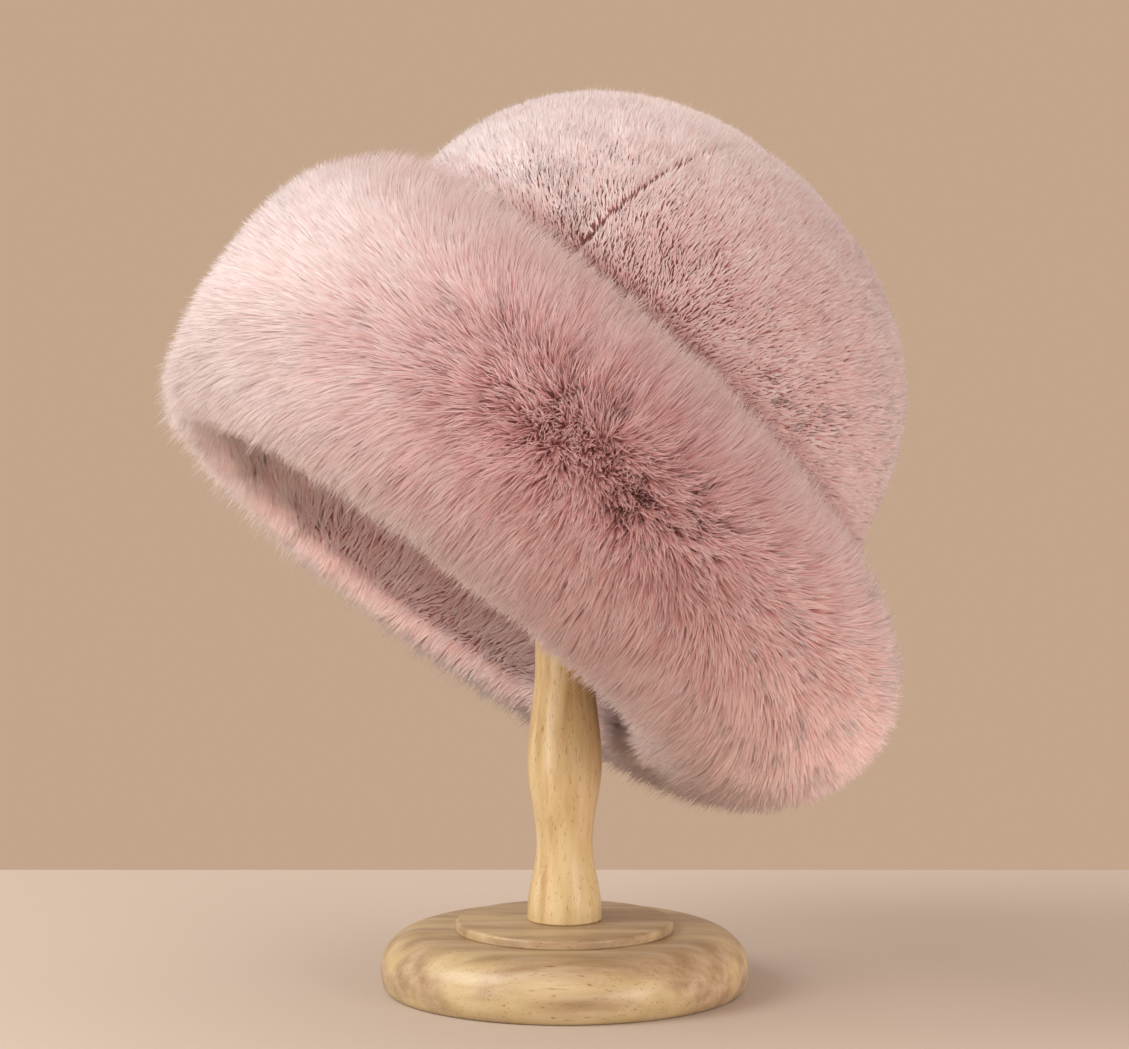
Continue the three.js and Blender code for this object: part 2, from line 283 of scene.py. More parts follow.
def wood_material(name, along_grain, turn, ring_centre_mm, stops):
    """Rubberwood, turned, sanded and clear lacquered: growth rings show as soft curved figure where the
    turning cuts through them, with short dark pores and a thin even gloss. The rings run round a line
    along the grain through ring_centre_mm."""
    ring_spacing, line_spacing, streak_width, pore_spacing = 8 * MM, 3 * MM, 14 * MM, 0.5 * MM
    # Along the grain everything is drawn out to eight times its width.
    drawn_out = 8
    material = new_material(name)
    tree = material.node_tree
    place = add_node(tree, "ShaderNodeTexCoord")
    board = add_node(tree, "ShaderNodeMapping", {
        "Location": [-size * MM for size in ring_centre_mm],
        "Rotation": turn,
        "Scale": [1 / drawn_out if axis == along_grain else 1.0 for axis in "XYZ"],
    }, {"Vector": place.outputs["Object"]})
    rings = add_node(tree, "ShaderNodeTexWave", {
        "wave_type": "RINGS",
        "rings_direction": along_grain,
        # A wave texture draws its bands a twentieth of a full turn apart.
        "Scale": FULL_TURN / 20 / ring_spacing,
        "Distortion": 5.0,
        "Detail": 2.0,
        "Detail Scale": 0.7,
    }, {"Vector": board.outputs[0]})
    lines = add_node(tree, "ShaderNodeTexNoise", {
        "Scale": 1 / line_spacing,
        "Detail": 3.0,
        "Roughness": 0.5,
    }, {"Vector": board.outputs[0]})
    figure = add_node(tree, "ShaderNodeMath", {
        "operation": "MULTIPLY_ADD",
        1: 0.22,
    }, {0: rings.outputs["Fac"], 2: lines.outputs["Fac"]})
    tones = add_node(tree, "ShaderNodeValToRGB", None, {"Fac": figure.outputs[0]})
    set_ramp(tones, stops)
    streaks = add_node(tree, "ShaderNodeTexNoise", {
        "Scale": 1 / streak_width,
        "Detail": 1.0,
    }, {"Vector": board.outputs[0]})
    yellow_share = add_node(tree, "ShaderNodeMapRange", {
        "From Min": 0.45,
        "From Max": 0.65,
        "To Max": 0.5,
    }, {"Value": streaks.outputs["Fac"]})
    yellowed = add_node(tree, "ShaderNodeMix", {
        "data_type": "RGBA",
        7: linear("#cdbb86"),
    }, {0: yellow_share.outputs[0], 6: tones.outputs["Color"]})
    pores = add_node(tree, "ShaderNodeTexNoise", {
        "Scale": 1 / pore_spacing,
        "Detail": 1.0,
    }, {"Vector": board.outputs[0]})
    pore_marks = add_node(tree, "ShaderNodeMapRange", {
        "From Min": 0.64,
        "From Max": 0.76,
    }, {"Value": pores.outputs["Fac"]})
    dark = add_node(tree, "ShaderNodeMix", {
        "data_type": "RGBA",
        "blend_type": "MULTIPLY",
        7: linear("#c8a077"),
    }, {0: pore_marks.outputs[0], 6: yellowed.outputs[2]})
    bump = add_node(tree, "ShaderNodeBump", {
        "Strength": 0.15,
        "Distance": 0.1 * MM,
        "invert": True,
    }, {"Height": pore_marks.outputs[0]})
    shader = add_node(tree, "ShaderNodeBsdfPrincipled", {
        "Roughness": 0.42,
        "IOR": 1.5,
        "Coat Weight": 0.25,
        "Coat Roughness": 0.16,
        "Coat IOR": 1.5,
    }, {"Base Color": dark.outputs[2], "Normal": bump.outputs[0]})
    add_node(tree, "ShaderNodeOutputMaterial", None, {"Surface": shader.outputs[0]})
    return material


# Making pieces

def deselect_all():
    bpy.ops.object.select_all(action="DESELECT")


def turned_piece(name, profile, sides, material):
    """A solid turned about Z. profile runs from the bottom of the axis, round the outside, and back to
    the axis."""
    merge_distance = 0.02 * MM
    deselect_all()
    bpy.ops.mesh.primitive_plane_add(size=0.001, location=(0, 0, 0))
    piece = bpy.context.object
    piece.name = name
    piece.data.name = name
    bpy.ops.object.mode_set(mode="EDIT")
    bpy.ops.mesh.select_all(action="SELECT")
    bpy.ops.mesh.merge(type="CENTER")
    bpy.ops.transform.translate(value=(profile[0][0], 0, profile[0][1]))
    for (radius, height), (next_radius, next_height) in zip(profile, profile[1:]):
        step = (next_radius - radius, 0, next_height - height)
        bpy.ops.mesh.extrude_region_move(TRANSFORM_OT_translate={"value": step})
    bpy.ops.mesh.select_all(action="SELECT")
    bpy.ops.mesh.spin(steps=sides, angle=FULL_TURN, center=(0, 0, 0), axis=(0, 0, 1))
    bpy.ops.mesh.select_all(action="SELECT")
    bpy.ops.mesh.remove_doubles(threshold=merge_distance)
    bpy.ops.mesh.normals_make_consistent(inside=False)
    bpy.ops.object.mode_set(mode="OBJECT")
    piece.data.materials.append(material)
    deselect_all()
    return piece


def smooth_with_corners(piece, degrees):
    deselect_all()
    piece.select_set(True)
    bpy.context.view_layer.objects.active = piece
    bpy.ops.object.shade_smooth_by_angle(angle=math.radians(degrees))
    deselect_all()


def points_of(piece):
    flat = np.zeros(len(piece.data.vertices) * 3)
    piece.data.vertices.foreach_get("co", flat)
    return flat.reshape(-1, 3)


def set_points(piece, points):
    piece.data.vertices.foreach_set("co", points.astype(np.float32).ravel())
    piece.data.update()


def set_attribute(mesh, name, values):
    mesh.attributes.new(name, "FLOAT", "POINT").data.foreach_set("value", values.astype(np.float32))


def hat_piece_from_profile(name, profile, sides, material, shape):
    """A ring or dome turned about the hat's axis, then shaped and leaned over with the hat."""
    piece = turned_piece(name, profile, sides, material)
    set_points(piece, into_world(shape(points_of(piece))))
    smooth_with_corners(piece, 50)
    return piece


def mesh_of_triangles(name, points, triangles, material):
    mesh = bpy.data.meshes.new(name)
    mesh.vertices.add(len(points))
    mesh.vertices.foreach_set("co", points.astype(np.float32).ravel())
    mesh.loops.add(triangles.size)
    mesh.loops.foreach_set("vertex_index", triangles.astype(np.int32).ravel())
    mesh.polygons.add(len(triangles))
    mesh.polygons.foreach_set("loop_start", np.arange(0, triangles.size, 3, dtype=np.int32))
    mesh.polygons.foreach_set("use_smooth", np.ones(len(triangles), dtype=bool))
    mesh.update(calc_edges=True)
    mesh.validate()
    mesh.materials.append(material)
    piece = bpy.data.objects.new(name, mesh)
    bpy.context.scene.collection.objects.link(piece)
    return piece


# Strands of pile

# Section of a strand in half widths, as seen along it. Its broad face looks outward, up and to the front
# left, and each strand is rolled about itself by up to STRAND_ROLL.
STRAND_SECTION = np.array([(1.0, -0.15), (0.0, 0.75), (-1.0, -0.15)])
STRAND_FACING = np.array([-0.43, -0.75, 0.49])
STRAND_FACING_OUTWARD = 0.5
STRAND_ROLL = 0.35
# A strand has three points round its foot and one at its tip.
STRAND_POINTS = 4
STRAND_FACES = np.array([[0, 2, 1], [0, 1, 3], [1, 2, 3], [2, 0, 3]])
# How far a strand is lit as the surface under it is, from 0 to 1
SOFTNESS = 0.85


def pile_piece(name, bed, material):
    """One mesh of many closed three-sided strands with four faces each.
    A bed has each strand's root, direction, length, width and roll, the outward direction of the
    surface under it, its own tone, and the tones of its foot and tip."""
    directions = unit(bed["direction"])
    count = len(directions)
    side = unit(np.cross(directions, STRAND_FACING + bed["outward"] * STRAND_FACING_OUTWARD))
    under = np.cross(directions, side)
    roll = bed["roll"][:, None] * STRAND_ROLL
    x, y = STRAND_SECTION.T
    ring = side[:, None, :] * (x * np.cos(roll) - y * np.sin(roll))[..., None]
    ring = ring + under[:, None, :] * (x * np.sin(roll) + y * np.cos(roll))[..., None]
    foot = bed["root"][:, None, :] + ring * (bed["width"] / 2)[:, None, None]
    tip = bed["root"] + directions * bed["length"][:, None]
    points = np.concatenate([foot, tip[:, None, :]], axis=1)
    first_points = np.arange(count) * STRAND_POINTS
    triangles = (STRAND_FACES[None] + first_points[:, None, None]).reshape(-1, 3)
    piece = mesh_of_triangles(name, points.reshape(-1, 3), triangles, material)
    foot_tone = np.broadcast_to(bed["foot_tone"], count)
    tip_tone = np.broadcast_to(bed["tip_tone"], count)
    along = np.stack([foot_tone, foot_tone, foot_tone, tip_tone], axis=1)
    set_attribute(piece.data, "along", along.ravel())
    set_attribute(piece.data, "tone", np.repeat(bed["tone"], STRAND_POINTS))
    # Light falls on a strand partly as it does on the surface under it, as in a real pile.
    own = np.concatenate([ring, directions[:, None, :]], axis=1)
    normals = bed["outward"][:, None, :] * SOFTNESS + own * (1 - SOFTNESS)
    piece.data.normals_split_custom_set_from_vertices(unit(normals.reshape(-1, 3)))
    # Real strands let light through. So a strand here throws no shadow on itself.
    piece.shadow_terminator_geometry_offset = 1.0
    return piece


def part_of(bed, chosen):
    """The chosen strands of a bed. A tone that all its strands share stays one number."""
    return {name: values[chosen] if np.ndim(values) else values for name, values in bed.items()}


def varied_widths(width, count, rng):
    return width * rng.uniform(0.75, 1.25, count)


def scatter_rows(length_of_path, radius_at, spacing, rng):
    """Even but broken rows of roots: each has an angle and a place from 0 to 1 along the path."""
    rows = max(1, round(length_of_path / spacing))
    thetas, places = [], []
    for row in range(rows):
        place = (row + 0.5) / rows
        count = max(3, round(FULL_TURN * radius_at(place) / spacing))
        theta = (np.arange(count) + rng.uniform(-0.5, 0.5, count) + rng.uniform()) / count * FULL_TURN
        thetas.append(theta)
        places.append(place + rng.uniform(-0.6, 0.6, count) / rows)
    return np.concatenate(thetas), np.clip(np.concatenate(places), 0, 1)


# Smooth random fields, for locks and patches

NOISE_TABLE_SIZE = 4096
# Large primes that spread the cells of the lattice over the table
CELL_KEYS = (73856093, 19349663, 83492791)


def lattice_noise(points, size, seed):
    """Smooth noise from -1 to 1 for each point, with bumps about this size apart."""
    table = np.random.default_rng(seed).uniform(-1, 1, NOISE_TABLE_SIZE)
    scaled = points / size
    cell = np.floor(scaled).astype(np.int64)
    share = scaled - cell
    share = share * share * (3 - 2 * share)
    total = np.zeros(len(points))
    for corner in range(8):
        offset = np.array([corner & 1, corner >> 1 & 1, corner >> 2 & 1])
        x_key, y_key, z_key = ((cell + offset) * CELL_KEYS).T
        weight = np.prod(np.where(offset, share, 1 - share), axis=1)
        total += table[(x_key ^ y_key ^ z_key) % NOISE_TABLE_SIZE] * weight
    return total


def lattice_vectors(points, size, seed):
    return np.stack([lattice_noise(points, size, seed + step) for step in range(3)], axis=1)


# Cuff

# Where the parting's dark middle lies, as an angle round the hat
PARTING_CENTRE = math.radians(-92)
# How far the pile leans up or down away from the parting, and how much less it leans at the two edges
LEAN_DEGREES = 42
LEAN_LOST_AT_EDGE_DEGREES = 32
# How far each strand bends down under its own weight, as a share of its direction
CUFF_SAG = np.array([0, 0, -0.05])


def cuff_pile_depth(phi):
    """Pile is deep on the side and shallower under the rim, where the backing is just below it."""
    lost = CUFF_PILE_LOST_AT_RIM_MM * smooth_step(math.radians(50), QUARTER_TURN, -phi)
    return (CUFF_PILE_DEPTH_MM - lost) * MM


def cuff_point(theta, phi, depth):
    """Point in the hat's frame on the cuff's outer side, depth below the tips. phi runs over the cuff's
    section, from minus a quarter turn at the rim to a quarter turn at the top."""
    rise = np.where(phi < 0, CUFF_RIM_BELOW, CUFF_TOP_ABOVE) - depth
    radius = CUFF_SEAT_RADIUS + (CUFF_REACH + CUFF_REACH_TO_RIGHT * np.cos(theta) - depth) * np.cos(phi)
    lean = CUFF_TOP_LEAN * np.maximum(0, np.sin(phi)) * np.cos(theta)
    height = CUFF_MIDDLE_HEIGHT + rise * np.sin(phi) + lean
    return lean_rim(around_axis(radius, theta, height))


def cuff_frame(theta, phi, depth):
    """Directions outward, up the section and around the hat, at a point of the cuff's outer side."""
    small = 1e-4
    up_section = cuff_point(theta, phi + small, depth) - cuff_point(theta, phi - small, depth)
    around = cuff_point(theta + small, phi, depth) - cuff_point(theta - small, phi, depth)
    outward = unit(np.cross(around, up_section))
    return outward, unit(up_section), unit(around)


def arc_table():
    """Length run along the cuff's section at each phi, so that rows lie evenly."""
    phi = np.linspace(-QUARTER_TURN, QUARTER_TURN, 400)
    side = np.where(phi < 0, CUFF_RIM_BELOW, CUFF_TOP_ABOVE)
    points = np.stack([CUFF_REACH * np.cos(phi), side * np.sin(phi)], axis=1)
    steps = np.linalg.norm(np.diff(points, axis=0), axis=1)
    run = np.concatenate([[0], np.cumsum(steps)])
    return phi, run


ARC_PHI, ARC_RUN = arc_table()


def cuff_bed(spacing, seed, length_share, wisp, width, spread, wild):
    """Roots, directions and tones of the strands on the cuff's outer side. wisp lengthens the strands at
    the ragged edges, spread turns each strand at random, and wild varies its length."""
    rng = np.random.default_rng(seed)
    length = ARC_RUN[-1]

    def radius_at(place):
        return CUFF_SEAT_RADIUS + CUFF_REACH * math.cos(np.interp(place * length, ARC_RUN, ARC_PHI))

    theta, place = scatter_rows(length, radius_at, spacing, rng)
    phi = np.interp(place * length, ARC_RUN, ARC_PHI)
    depth = cuff_pile_depth(phi)
    roots = cuff_point(theta, phi, depth)
    outward, up_section, around = cuff_frame(theta, phi, depth)

    # The pile parts along the middle: it leans up above it and down below it, least at the two edges.
    steepness = np.abs(phi) / QUARTER_TURN
    lean = np.radians(
        LEAN_DEGREES * smooth_step(0.02, 0.7, steepness)
        - LEAN_LOST_AT_EDGE_DEGREES * smooth_step(0.72, 1, steepness)
    )
    fall = np.sign(phi)[:, None] * up_section
    ragged = smooth_step(0.42, 0.78, steepness)
    parting = 1 - smooth_step(0.1, 0.45, steepness)

    # On the left the pile lies evenly. Its roots and tips are painted paler there too, as painted light on
    # the side the lamp lights.
    smooth_lit_left = smooth_step(0.1, 0.9, -np.cos(theta))
    unruly = 0.2 + 0.06 * ragged + 0.06 * parting - 0.1 * smooth_lit_left
    locked = 0.16 + 0.14 * ragged - 0.08 * smooth_lit_left
    fine = lattice_vectors(roots, 3.2 * MM, seed + 10) * unruly[:, None]
    locks = lattice_vectors(roots, 8 * MM, seed + 20) * locked[:, None]
    stray = rng.normal(0, spread, (len(roots), 3))

    # In front the pile also falls away to both sides of one point of the parting, less so on the right.
    from_centre = (theta - PARTING_CENTRE + math.pi) % FULL_TURN - math.pi
    falling = np.where(from_centre < 0, 0.75, 0.15) * (1 - smooth_step(0.4, 0.9, steepness))
    aside = falling * from_centre * np.exp(-(from_centre / 0.7) ** 2)
    combed = outward * np.cos(lean)[:, None] + fall * np.sin(lean)[:, None] + around * aside[:, None]
    direction = unit(combed + fine + locks + stray)

    # A leaning strand is longer, so that the pile stays as deep. Its length varies most at the edges.
    rise = np.maximum(0.68, np.sum(direction * outward, axis=1))
    uneven = 1 + 0.07 * lattice_noise(roots, 5 * MM, seed + 30)
    uneven += ragged * (0.24 * lattice_noise(roots, 4 * MM, seed + 40) + 0.05)
    uneven += rng.normal(0, wild, len(roots))
    # Hanging on the right, the pile lies a little flatter there above and below its middle.
    pressed = 0.24 * smooth_step(0.25, 0.75, steepness) * np.maximum(0, np.cos(theta)) ** 2
    lengths = depth / rise * (uneven - pressed) * length_share * (1 + wisp * ragged)

    # Painted light and shade on the pile: the parting's middle in front is painted darker, as shade deep in
    # the pile. The edges and the left are painted paler, as painted light on the tips, and the left's tips
    # above the middle, where the lamp falls strongest, are painted darker again.
    in_front = np.exp(-((from_centre - 0.2) / 0.65) ** 2) * (1 - smooth_step(0.25, 0.7, steepness))
    lit_edge = smooth_lit_left * smooth_step(0.15, 0.7, phi / QUARTER_TURN)
    painted_light = np.maximum(smooth_lit_left, smooth_step(0.6, 0.95, steepness))
    foot_tone = np.minimum(0.7, 0.34 * smooth_step(0.2, 0.75, steepness) + 0.45 * smooth_lit_left)
    tip_tone = 0.74 - 0.2 * in_front + 0.3 * painted_light - 0.24 * lit_edge
    widths = varied_widths(width, len(roots), rng)
    lock_tone = 0.25 + 0.3 * lattice_noise(roots, 3 * MM, seed + 50)
    return {
        "root": into_world(roots),
        "direction": turn_to_world(direction) + CUFF_SAG,
        "outward": turn_to_world(outward),
        "length": lengths,
        "width": widths,
        "tone": np.clip(0.5 * rng.uniform(0, 1, len(roots)) + lock_tone, 0, 1),
        "roll": rng.uniform(-1, 1, len(roots)),
        "theta": theta,
        "foot_tone": foot_tone,
        "tip_tone": tip_tone,
    }


def hem_bed(spacing, seed, width):
    """Roots, directions and tones of the shorter strands under the rim and on the hem inside the hat."""
    rng = np.random.default_rng(seed)
    round_length, wall_length, mean_radius = 14 * MM, 24 * MM, 95 * MM
    length = round_length + wall_length
    theta, place = scatter_rows(length, lambda at: mean_radius, spacing, rng)
    run = place * length
    on_wall = np.clip((run - round_length) / wall_length, 0, 1)
    on_round = np.clip(run / round_length, 0, 1) * QUARTER_TURN
    backing_floor = RIM_HEIGHT + (CUFF_PILE_DEPTH_MM - CUFF_PILE_LOST_AT_RIM_MM) * MM
    wall_height = HEM_TOP_HEIGHT - backing_floor - HEM_ROUND_RISE
    radius = CUFF_SEAT_RADIUS - (CUFF_SEAT_RADIUS - HEM_RADIUS) * np.sin(on_round)
    height = backing_floor + HEM_ROUND_RISE * (1 - np.cos(on_round)) + on_wall * wall_height
    roots = lean_rim(around_axis(radius, theta, height))

    # The strands point down under the rim and inward on the wall, and all of them lean down.
    inward = around_axis(-1, theta, np.zeros(len(theta)))
    down = np.array([[0, 0, -1.0]])
    outward = unit(inward * np.sin(on_round)[:, None] + down * np.cos(on_round)[:, None])
    lean = np.radians(30 + 28 * on_wall)[:, None]
    fine = lattice_vectors(roots, 4 * MM, seed + 10) * 0.2
    locks = lattice_vectors(roots, 12 * MM, seed + 20) * 0.25
    stray = rng.normal(0, 0.1, (len(roots), 3))
    direction = unit(outward * np.cos(lean) + down * np.sin(lean) + fine + locks + stray)
    lengths = (9 + 4 * on_wall) * MM * rng.uniform(0.8, 1.15, len(roots))
    return {
        "root": into_world(roots),
        "direction": turn_to_world(direction),
        "outward": turn_to_world(outward),
        "length": lengths,
        "width": varied_widths(width, len(roots), rng),
        "tone": rng.uniform(0, 1, len(roots)),
        "roll": rng.uniform(-1, 1, len(roots)),
        "theta": theta,
        # Painted shade: the strands are painted darker higher up the hem, deeper inside the hat.
        "foot_tone": 0.65 - 0.3 * on_wall,
        "tip_tone": 0.9 - 0.2 * smooth_step(0.5, 1, on_wall),
    }


def cuff_backing(material):
    """Knitted backing of the cuff, as dark as the roots, which partly paints the shade under the pile: a
    closed padded band, below the pile.
    """
    outer = []
    for phi in np.linspace(-QUARTER_TURN, QUARTER_TURN, 41):
        depth = float(cuff_pile_depth(np.array([phi]))[0]) + 0.4 * MM
        rise = (CUFF_RIM_BELOW if phi < 0 else CUFF_TOP_ABOVE) - depth
        reach = (CUFF_REACH - depth) * math.cos(phi)
        outer.append((CUFF_SEAT_RADIUS + max(reach, 0.0), CUFF_MIDDLE_HEIGHT + rise * math.sin(phi)))
    floor = outer[0][1]
    inner = [
        (CUFF_SEAT_RADIUS, WALL_END_HEIGHT - 0.3 * MM),
        (CUFF_INNER_SEAT, WALL_END_HEIGHT - 0.3 * MM),
        (CUFF_INNER_SEAT, HEM_TOP_HEIGHT),
        (HEM_RADIUS, HEM_TOP_HEIGHT),
        (HEM_RADIUS, floor + HEM_ROUND_RISE),
        (HEM_RADIUS + 2 * MM, floor + 1.2 * MM),
    ]
    profile = [*outer, *inner, outer[0]]

    def swell(points):
        """The band reaches further out on the right, as its pile does."""
        radius = axis_distance(points)
        rightness = points[:, 0] / radius
        share = np.clip((radius - CUFF_SEAT_RADIUS) / (CUFF_REACH - CUFF_PILE_DEPTH_MM * MM), 0, 1)
        grown = radius + share * CUFF_REACH_TO_RIGHT * rightness
        return lean_rim(widen(points, grown / radius))

    return hat_piece_from_profile("cuff_backing", profile, 144, material, swell)


# Crown

def dome_row(angle, radius, inset):
    """Radius and height of the dome at an angle from its ring, with its top lower by the inset."""
    share = max(0.0, math.cos(angle)) ** (2 / CROWN_SQUARENESS)
    rise = math.sin(angle) ** (2 / CROWN_SQUARENESS)
    return share * radius, CROWN_RING_HEIGHT + (CROWN_DOME_HEIGHT - inset) * rise


def dome(rows, radius, inset):
    """Rows of the dome from its ring to the axis."""
    rising = [dome_row(row / rows * QUARTER_TURN, radius, inset) for row in range(rows)]
    return [*rising, dome_row(QUARTER_TURN, 0, inset)]


def nearest_seam(points):
    """Signed distance from the nearest seam's plane, and how open that seam is at points in the hat's
    frame. Every seam closes towards the crown's top."""
    angle = np.arctan2(points[:, 1], points[:, 0]) - FIRST_SEAM
    seam = np.round(angle / GORE_ANGLE).astype(int)
    radius = axis_distance(points)
    openness = SEAM_OPENNESS[seam % GORES] * smooth_step(6 * MM, 40 * MM, radius)
    return radius * np.sin(angle - seam * GORE_ANGLE), openness


def seam_sink(points):
    """How deep the crown's surface dips into each seam: a narrow groove in a wide soft hollow."""
    across, openness = nearest_seam(points)
    groove = 2.0 * MM * np.exp(-(across / (1.2 * MM)) ** 2)
    hollow = 0.7 * MM * np.exp(-(across / (6 * MM)) ** 2)
    return openness * (groove + hollow)


def slump(points):
    """The crown's plush sags a little over the cuff's top on the right, where the hat hangs lowest."""
    share = np.maximum(0, points[:, 0] / np.maximum(axis_distance(points), 1e-9)) ** 2
    lowness = 1 - smooth_step(CUFF_TOP_HEIGHT - 4 * MM, CUFF_TOP_HEIGHT + 34 * MM, points[:, 2])
    slumped = points.copy()
    slumped[:, 0] += 8 * MM * share * lowness ** 2
    return slumped


def crown_normal(points):
    """Outward direction of the crown's form at points in the hat's frame."""
    radius = axis_distance(points)
    up = np.maximum(0, points[:, 2] - CROWN_RING_HEIGHT)
    across_slope = (radius / CROWN_OUTER_RADIUS) ** (CROWN_SQUARENESS - 1) / CROWN_OUTER_RADIUS
    up_slope = (up / CROWN_DOME_HEIGHT) ** (CROWN_SQUARENESS - 1) / CROWN_DOME_HEIGHT
    safe = np.maximum(radius, 1e-9)
    x, y = points[:, 0], points[:, 1]
    return unit(np.stack([x / safe * across_slope, y / safe * across_slope, up_slope], axis=1))


def height_over_form(points):
    """Distance outside the crown's form, to first order."""
    up = np.maximum(0, points[:, 2] - CROWN_RING_HEIGHT)
    power = CROWN_SQUARENESS
    across_share = axis_distance(points) / CROWN_OUTER_RADIUS
    fullness = (across_share ** power + (up / CROWN_DOME_HEIGHT) ** power) ** (1 / power)
    return (fullness - 1) * CROWN_OUTER_RADIUS


def crown_backing(material):
    """Backing of the plush, sewn from gores: it dips into each seam."""
    radius_outside = CROWN_OUTER_RADIUS - CROWN_BACKING_DEPTH
    # The wall's rows lie closer together towards the dome, where the seams show.
    wall_rows_mm = (-40, -15, 5, 15, 22, 28, 33)
    outside = [(radius_outside, WALL_END_HEIGHT)]
    outside += [(radius_outside, height * MM) for height in wall_rows_mm]
    outside += dome(44, radius_outside, CROWN_BACKING_DEPTH)
    inside = [(CROWN_INNER_RADIUS, WALL_END_HEIGHT), *dome(20, CROWN_INNER_RADIUS, CROWN_INNER_INSET)]
    profile = [*reversed(inside), *outside]
    # Between the inner side, which stays plain, and the outer side, which dips
    halfway = -4.9 * MM
    gathering, sink_share = 1.6, 0.75

    def dip(points):
        """Draws the mesh closer together towards each seam, then sinks the outer side there."""
        angle = np.arctan2(points[:, 1], points[:, 0]) - FIRST_SEAM
        share = ((angle / GORE_ANGLE + 0.5) % 1 - 0.5) * 2
        seam_angle = angle - share * GORE_ANGLE / 2
        gathered = np.sign(share) * np.abs(share) ** gathering
        bent = seam_angle + gathered * GORE_ANGLE / 2 + FIRST_SEAM
        moved = around_axis(axis_distance(points), bent, points[:, 2])
        is_outside = height_over_form(moved) > halfway
        sunk = moved - crown_normal(moved) * (seam_sink(moved) * is_outside)[:, None] * sink_share
        return lean_rim(np.where(is_outside[:, None], slump(sunk), sunk))

    return hat_piece_from_profile("crown_backing", profile, 300, material, dip)


def crown_bed(spacing, seed, pile_height, width, wild):
    """Roots, directions and tones of the plush pile on the crown. wild varies each strand's length."""
    rng = np.random.default_rng(seed)
    angles = np.linspace(0, QUARTER_TURN, 300)
    wall_foot = (CROWN_OUTER_RADIUS, 12 * MM)
    profile = np.array([wall_foot] + [dome_row(angle, CROWN_OUTER_RADIUS, 0) for angle in angles])
    steps = np.linalg.norm(np.diff(profile, axis=0), axis=1)
    run = np.concatenate([[0], np.cumsum(steps)])
    length = run[-1]

    def radius_at(place):
        return max(0.5 * MM, np.interp(place * length, run, profile[:, 0]))

    theta, place = scatter_rows(length, radius_at, spacing, rng)
    radius = np.interp(place * length, run, profile[:, 0])
    height = np.interp(place * length, run, profile[:, 1])
    surface = around_axis(radius, theta, height)
    outward = crown_normal(surface)
    roots = surface - outward * (CROWN_ROOT_DEPTH + seam_sink(surface))[:, None]

    # The pile is combed up towards the crown's top and falls open along each seam.
    across, openness = nearest_seam(surface)
    fine = lattice_vectors(surface, 2.6 * MM, seed + 10) * 0.2
    locks = lattice_vectors(surface, 8 * MM, seed + 20) * 0.2
    around = np.stack([-np.sin(theta), np.cos(theta), np.zeros(len(theta))], axis=1)
    near_seam = np.exp(-(across / (2.2 * MM)) ** 2) * openness
    away = around * (np.sign(across) * near_seam * 0.22)[:, None]
    combed = np.cross(around, outward) * -0.26
    stray = rng.normal(0, 0.1, (len(roots), 3))
    direction = unit(outward + combed + fine + locks + away + stray)
    rise = np.maximum(0.6, np.sum(direction * outward, axis=1))
    uneven = 1 + 0.08 * lattice_noise(surface, 5 * MM, seed + 30) + rng.normal(0, wild, len(roots))
    # No strand stands in an open seam.
    kept = np.abs(across) > 0.7 * MM * openness

    # Painted shade: the pile is painted darker next to the cuff's top, where the cuff shades it, save on the
    # left, which is painted paler as painted light from the lamp. Its tips are painted darker on the right,
    # away from the lamp.
    leftness = -np.cos(theta)
    free_of_painted_shade = smooth_step(CUFF_TOP_HEIGHT, CUFF_TOP_HEIGHT + 13 * MM, height)
    free_of_painted_shade = np.maximum(free_of_painted_shade, 0.8 * smooth_step(0.3, 0.9, leftness))
    bed = {
        "root": into_world(lean_rim(slump(roots))),
        "direction": turn_to_world(direction),
        "outward": turn_to_world(outward),
        "length": pile_height / rise * uneven,
        "width": varied_widths(width, len(roots), rng),
        "tone": rng.uniform(0, 1, len(roots)),
        "roll": rng.uniform(-1, 1, len(roots)),
        "theta": theta,
        "foot_tone": (0.45 + 0.42 * smooth_step(0.1, 0.8, leftness)) * free_of_painted_shade,
        "tip_tone": 0.6 + 0.4 * free_of_painted_shade - 0.16 * smooth_step(-0.3, 0.7, -leftness),
    }
    return part_of(bed, kept)


def crown_lining(material):
    """Lining cloth inside the crown, a little gathered at its lower edge."""
    wall_foot = HEM_TOP_HEIGHT + 0.3 * MM

    def shell(radius, inset):
        wall = [(radius, height) for height in np.linspace(wall_foot, CROWN_RING_HEIGHT, 8)[:-1]]
        return [*wall, *dome(24, radius, inset)]

    inside = shell(HEAD_RADIUS, LINING_INNER_INSET)
    outside = shell(HEAD_RADIUS + LINING_THICKNESS, LINING_OUTER_INSET)
    profile = [*reversed(inside), *outside]

    def gather(points):
        """Small gathers on the inner side, deepest at the lower edge."""
        angle = np.arctan2(points[:, 1], points[:, 0])
        low = smooth_step(CROWN_RING_HEIGHT, HEM_TOP_HEIGHT, points[:, 2])
        radius = axis_distance(points)
        wave = 0.45 * np.sin(31 * angle) + 0.3 * np.sin(47 * angle + 1.3) + 0.25 * np.sin(19 * angle + 0.4)
        inner = radius < HEAD_RADIUS + 0.5 * LINING_THICKNESS
        shrink = 1 - np.where(inner, (0.9 * MM + 0.9 * MM * wave) * low, 0) / np.maximum(radius, 0.02)
        return lean_rim(widen(points, shrink))

    return hat_piece_from_profile("lining_cloth", profile, 192, material, gather)


# Stand, with its profiles as (radius, height) in millimetres

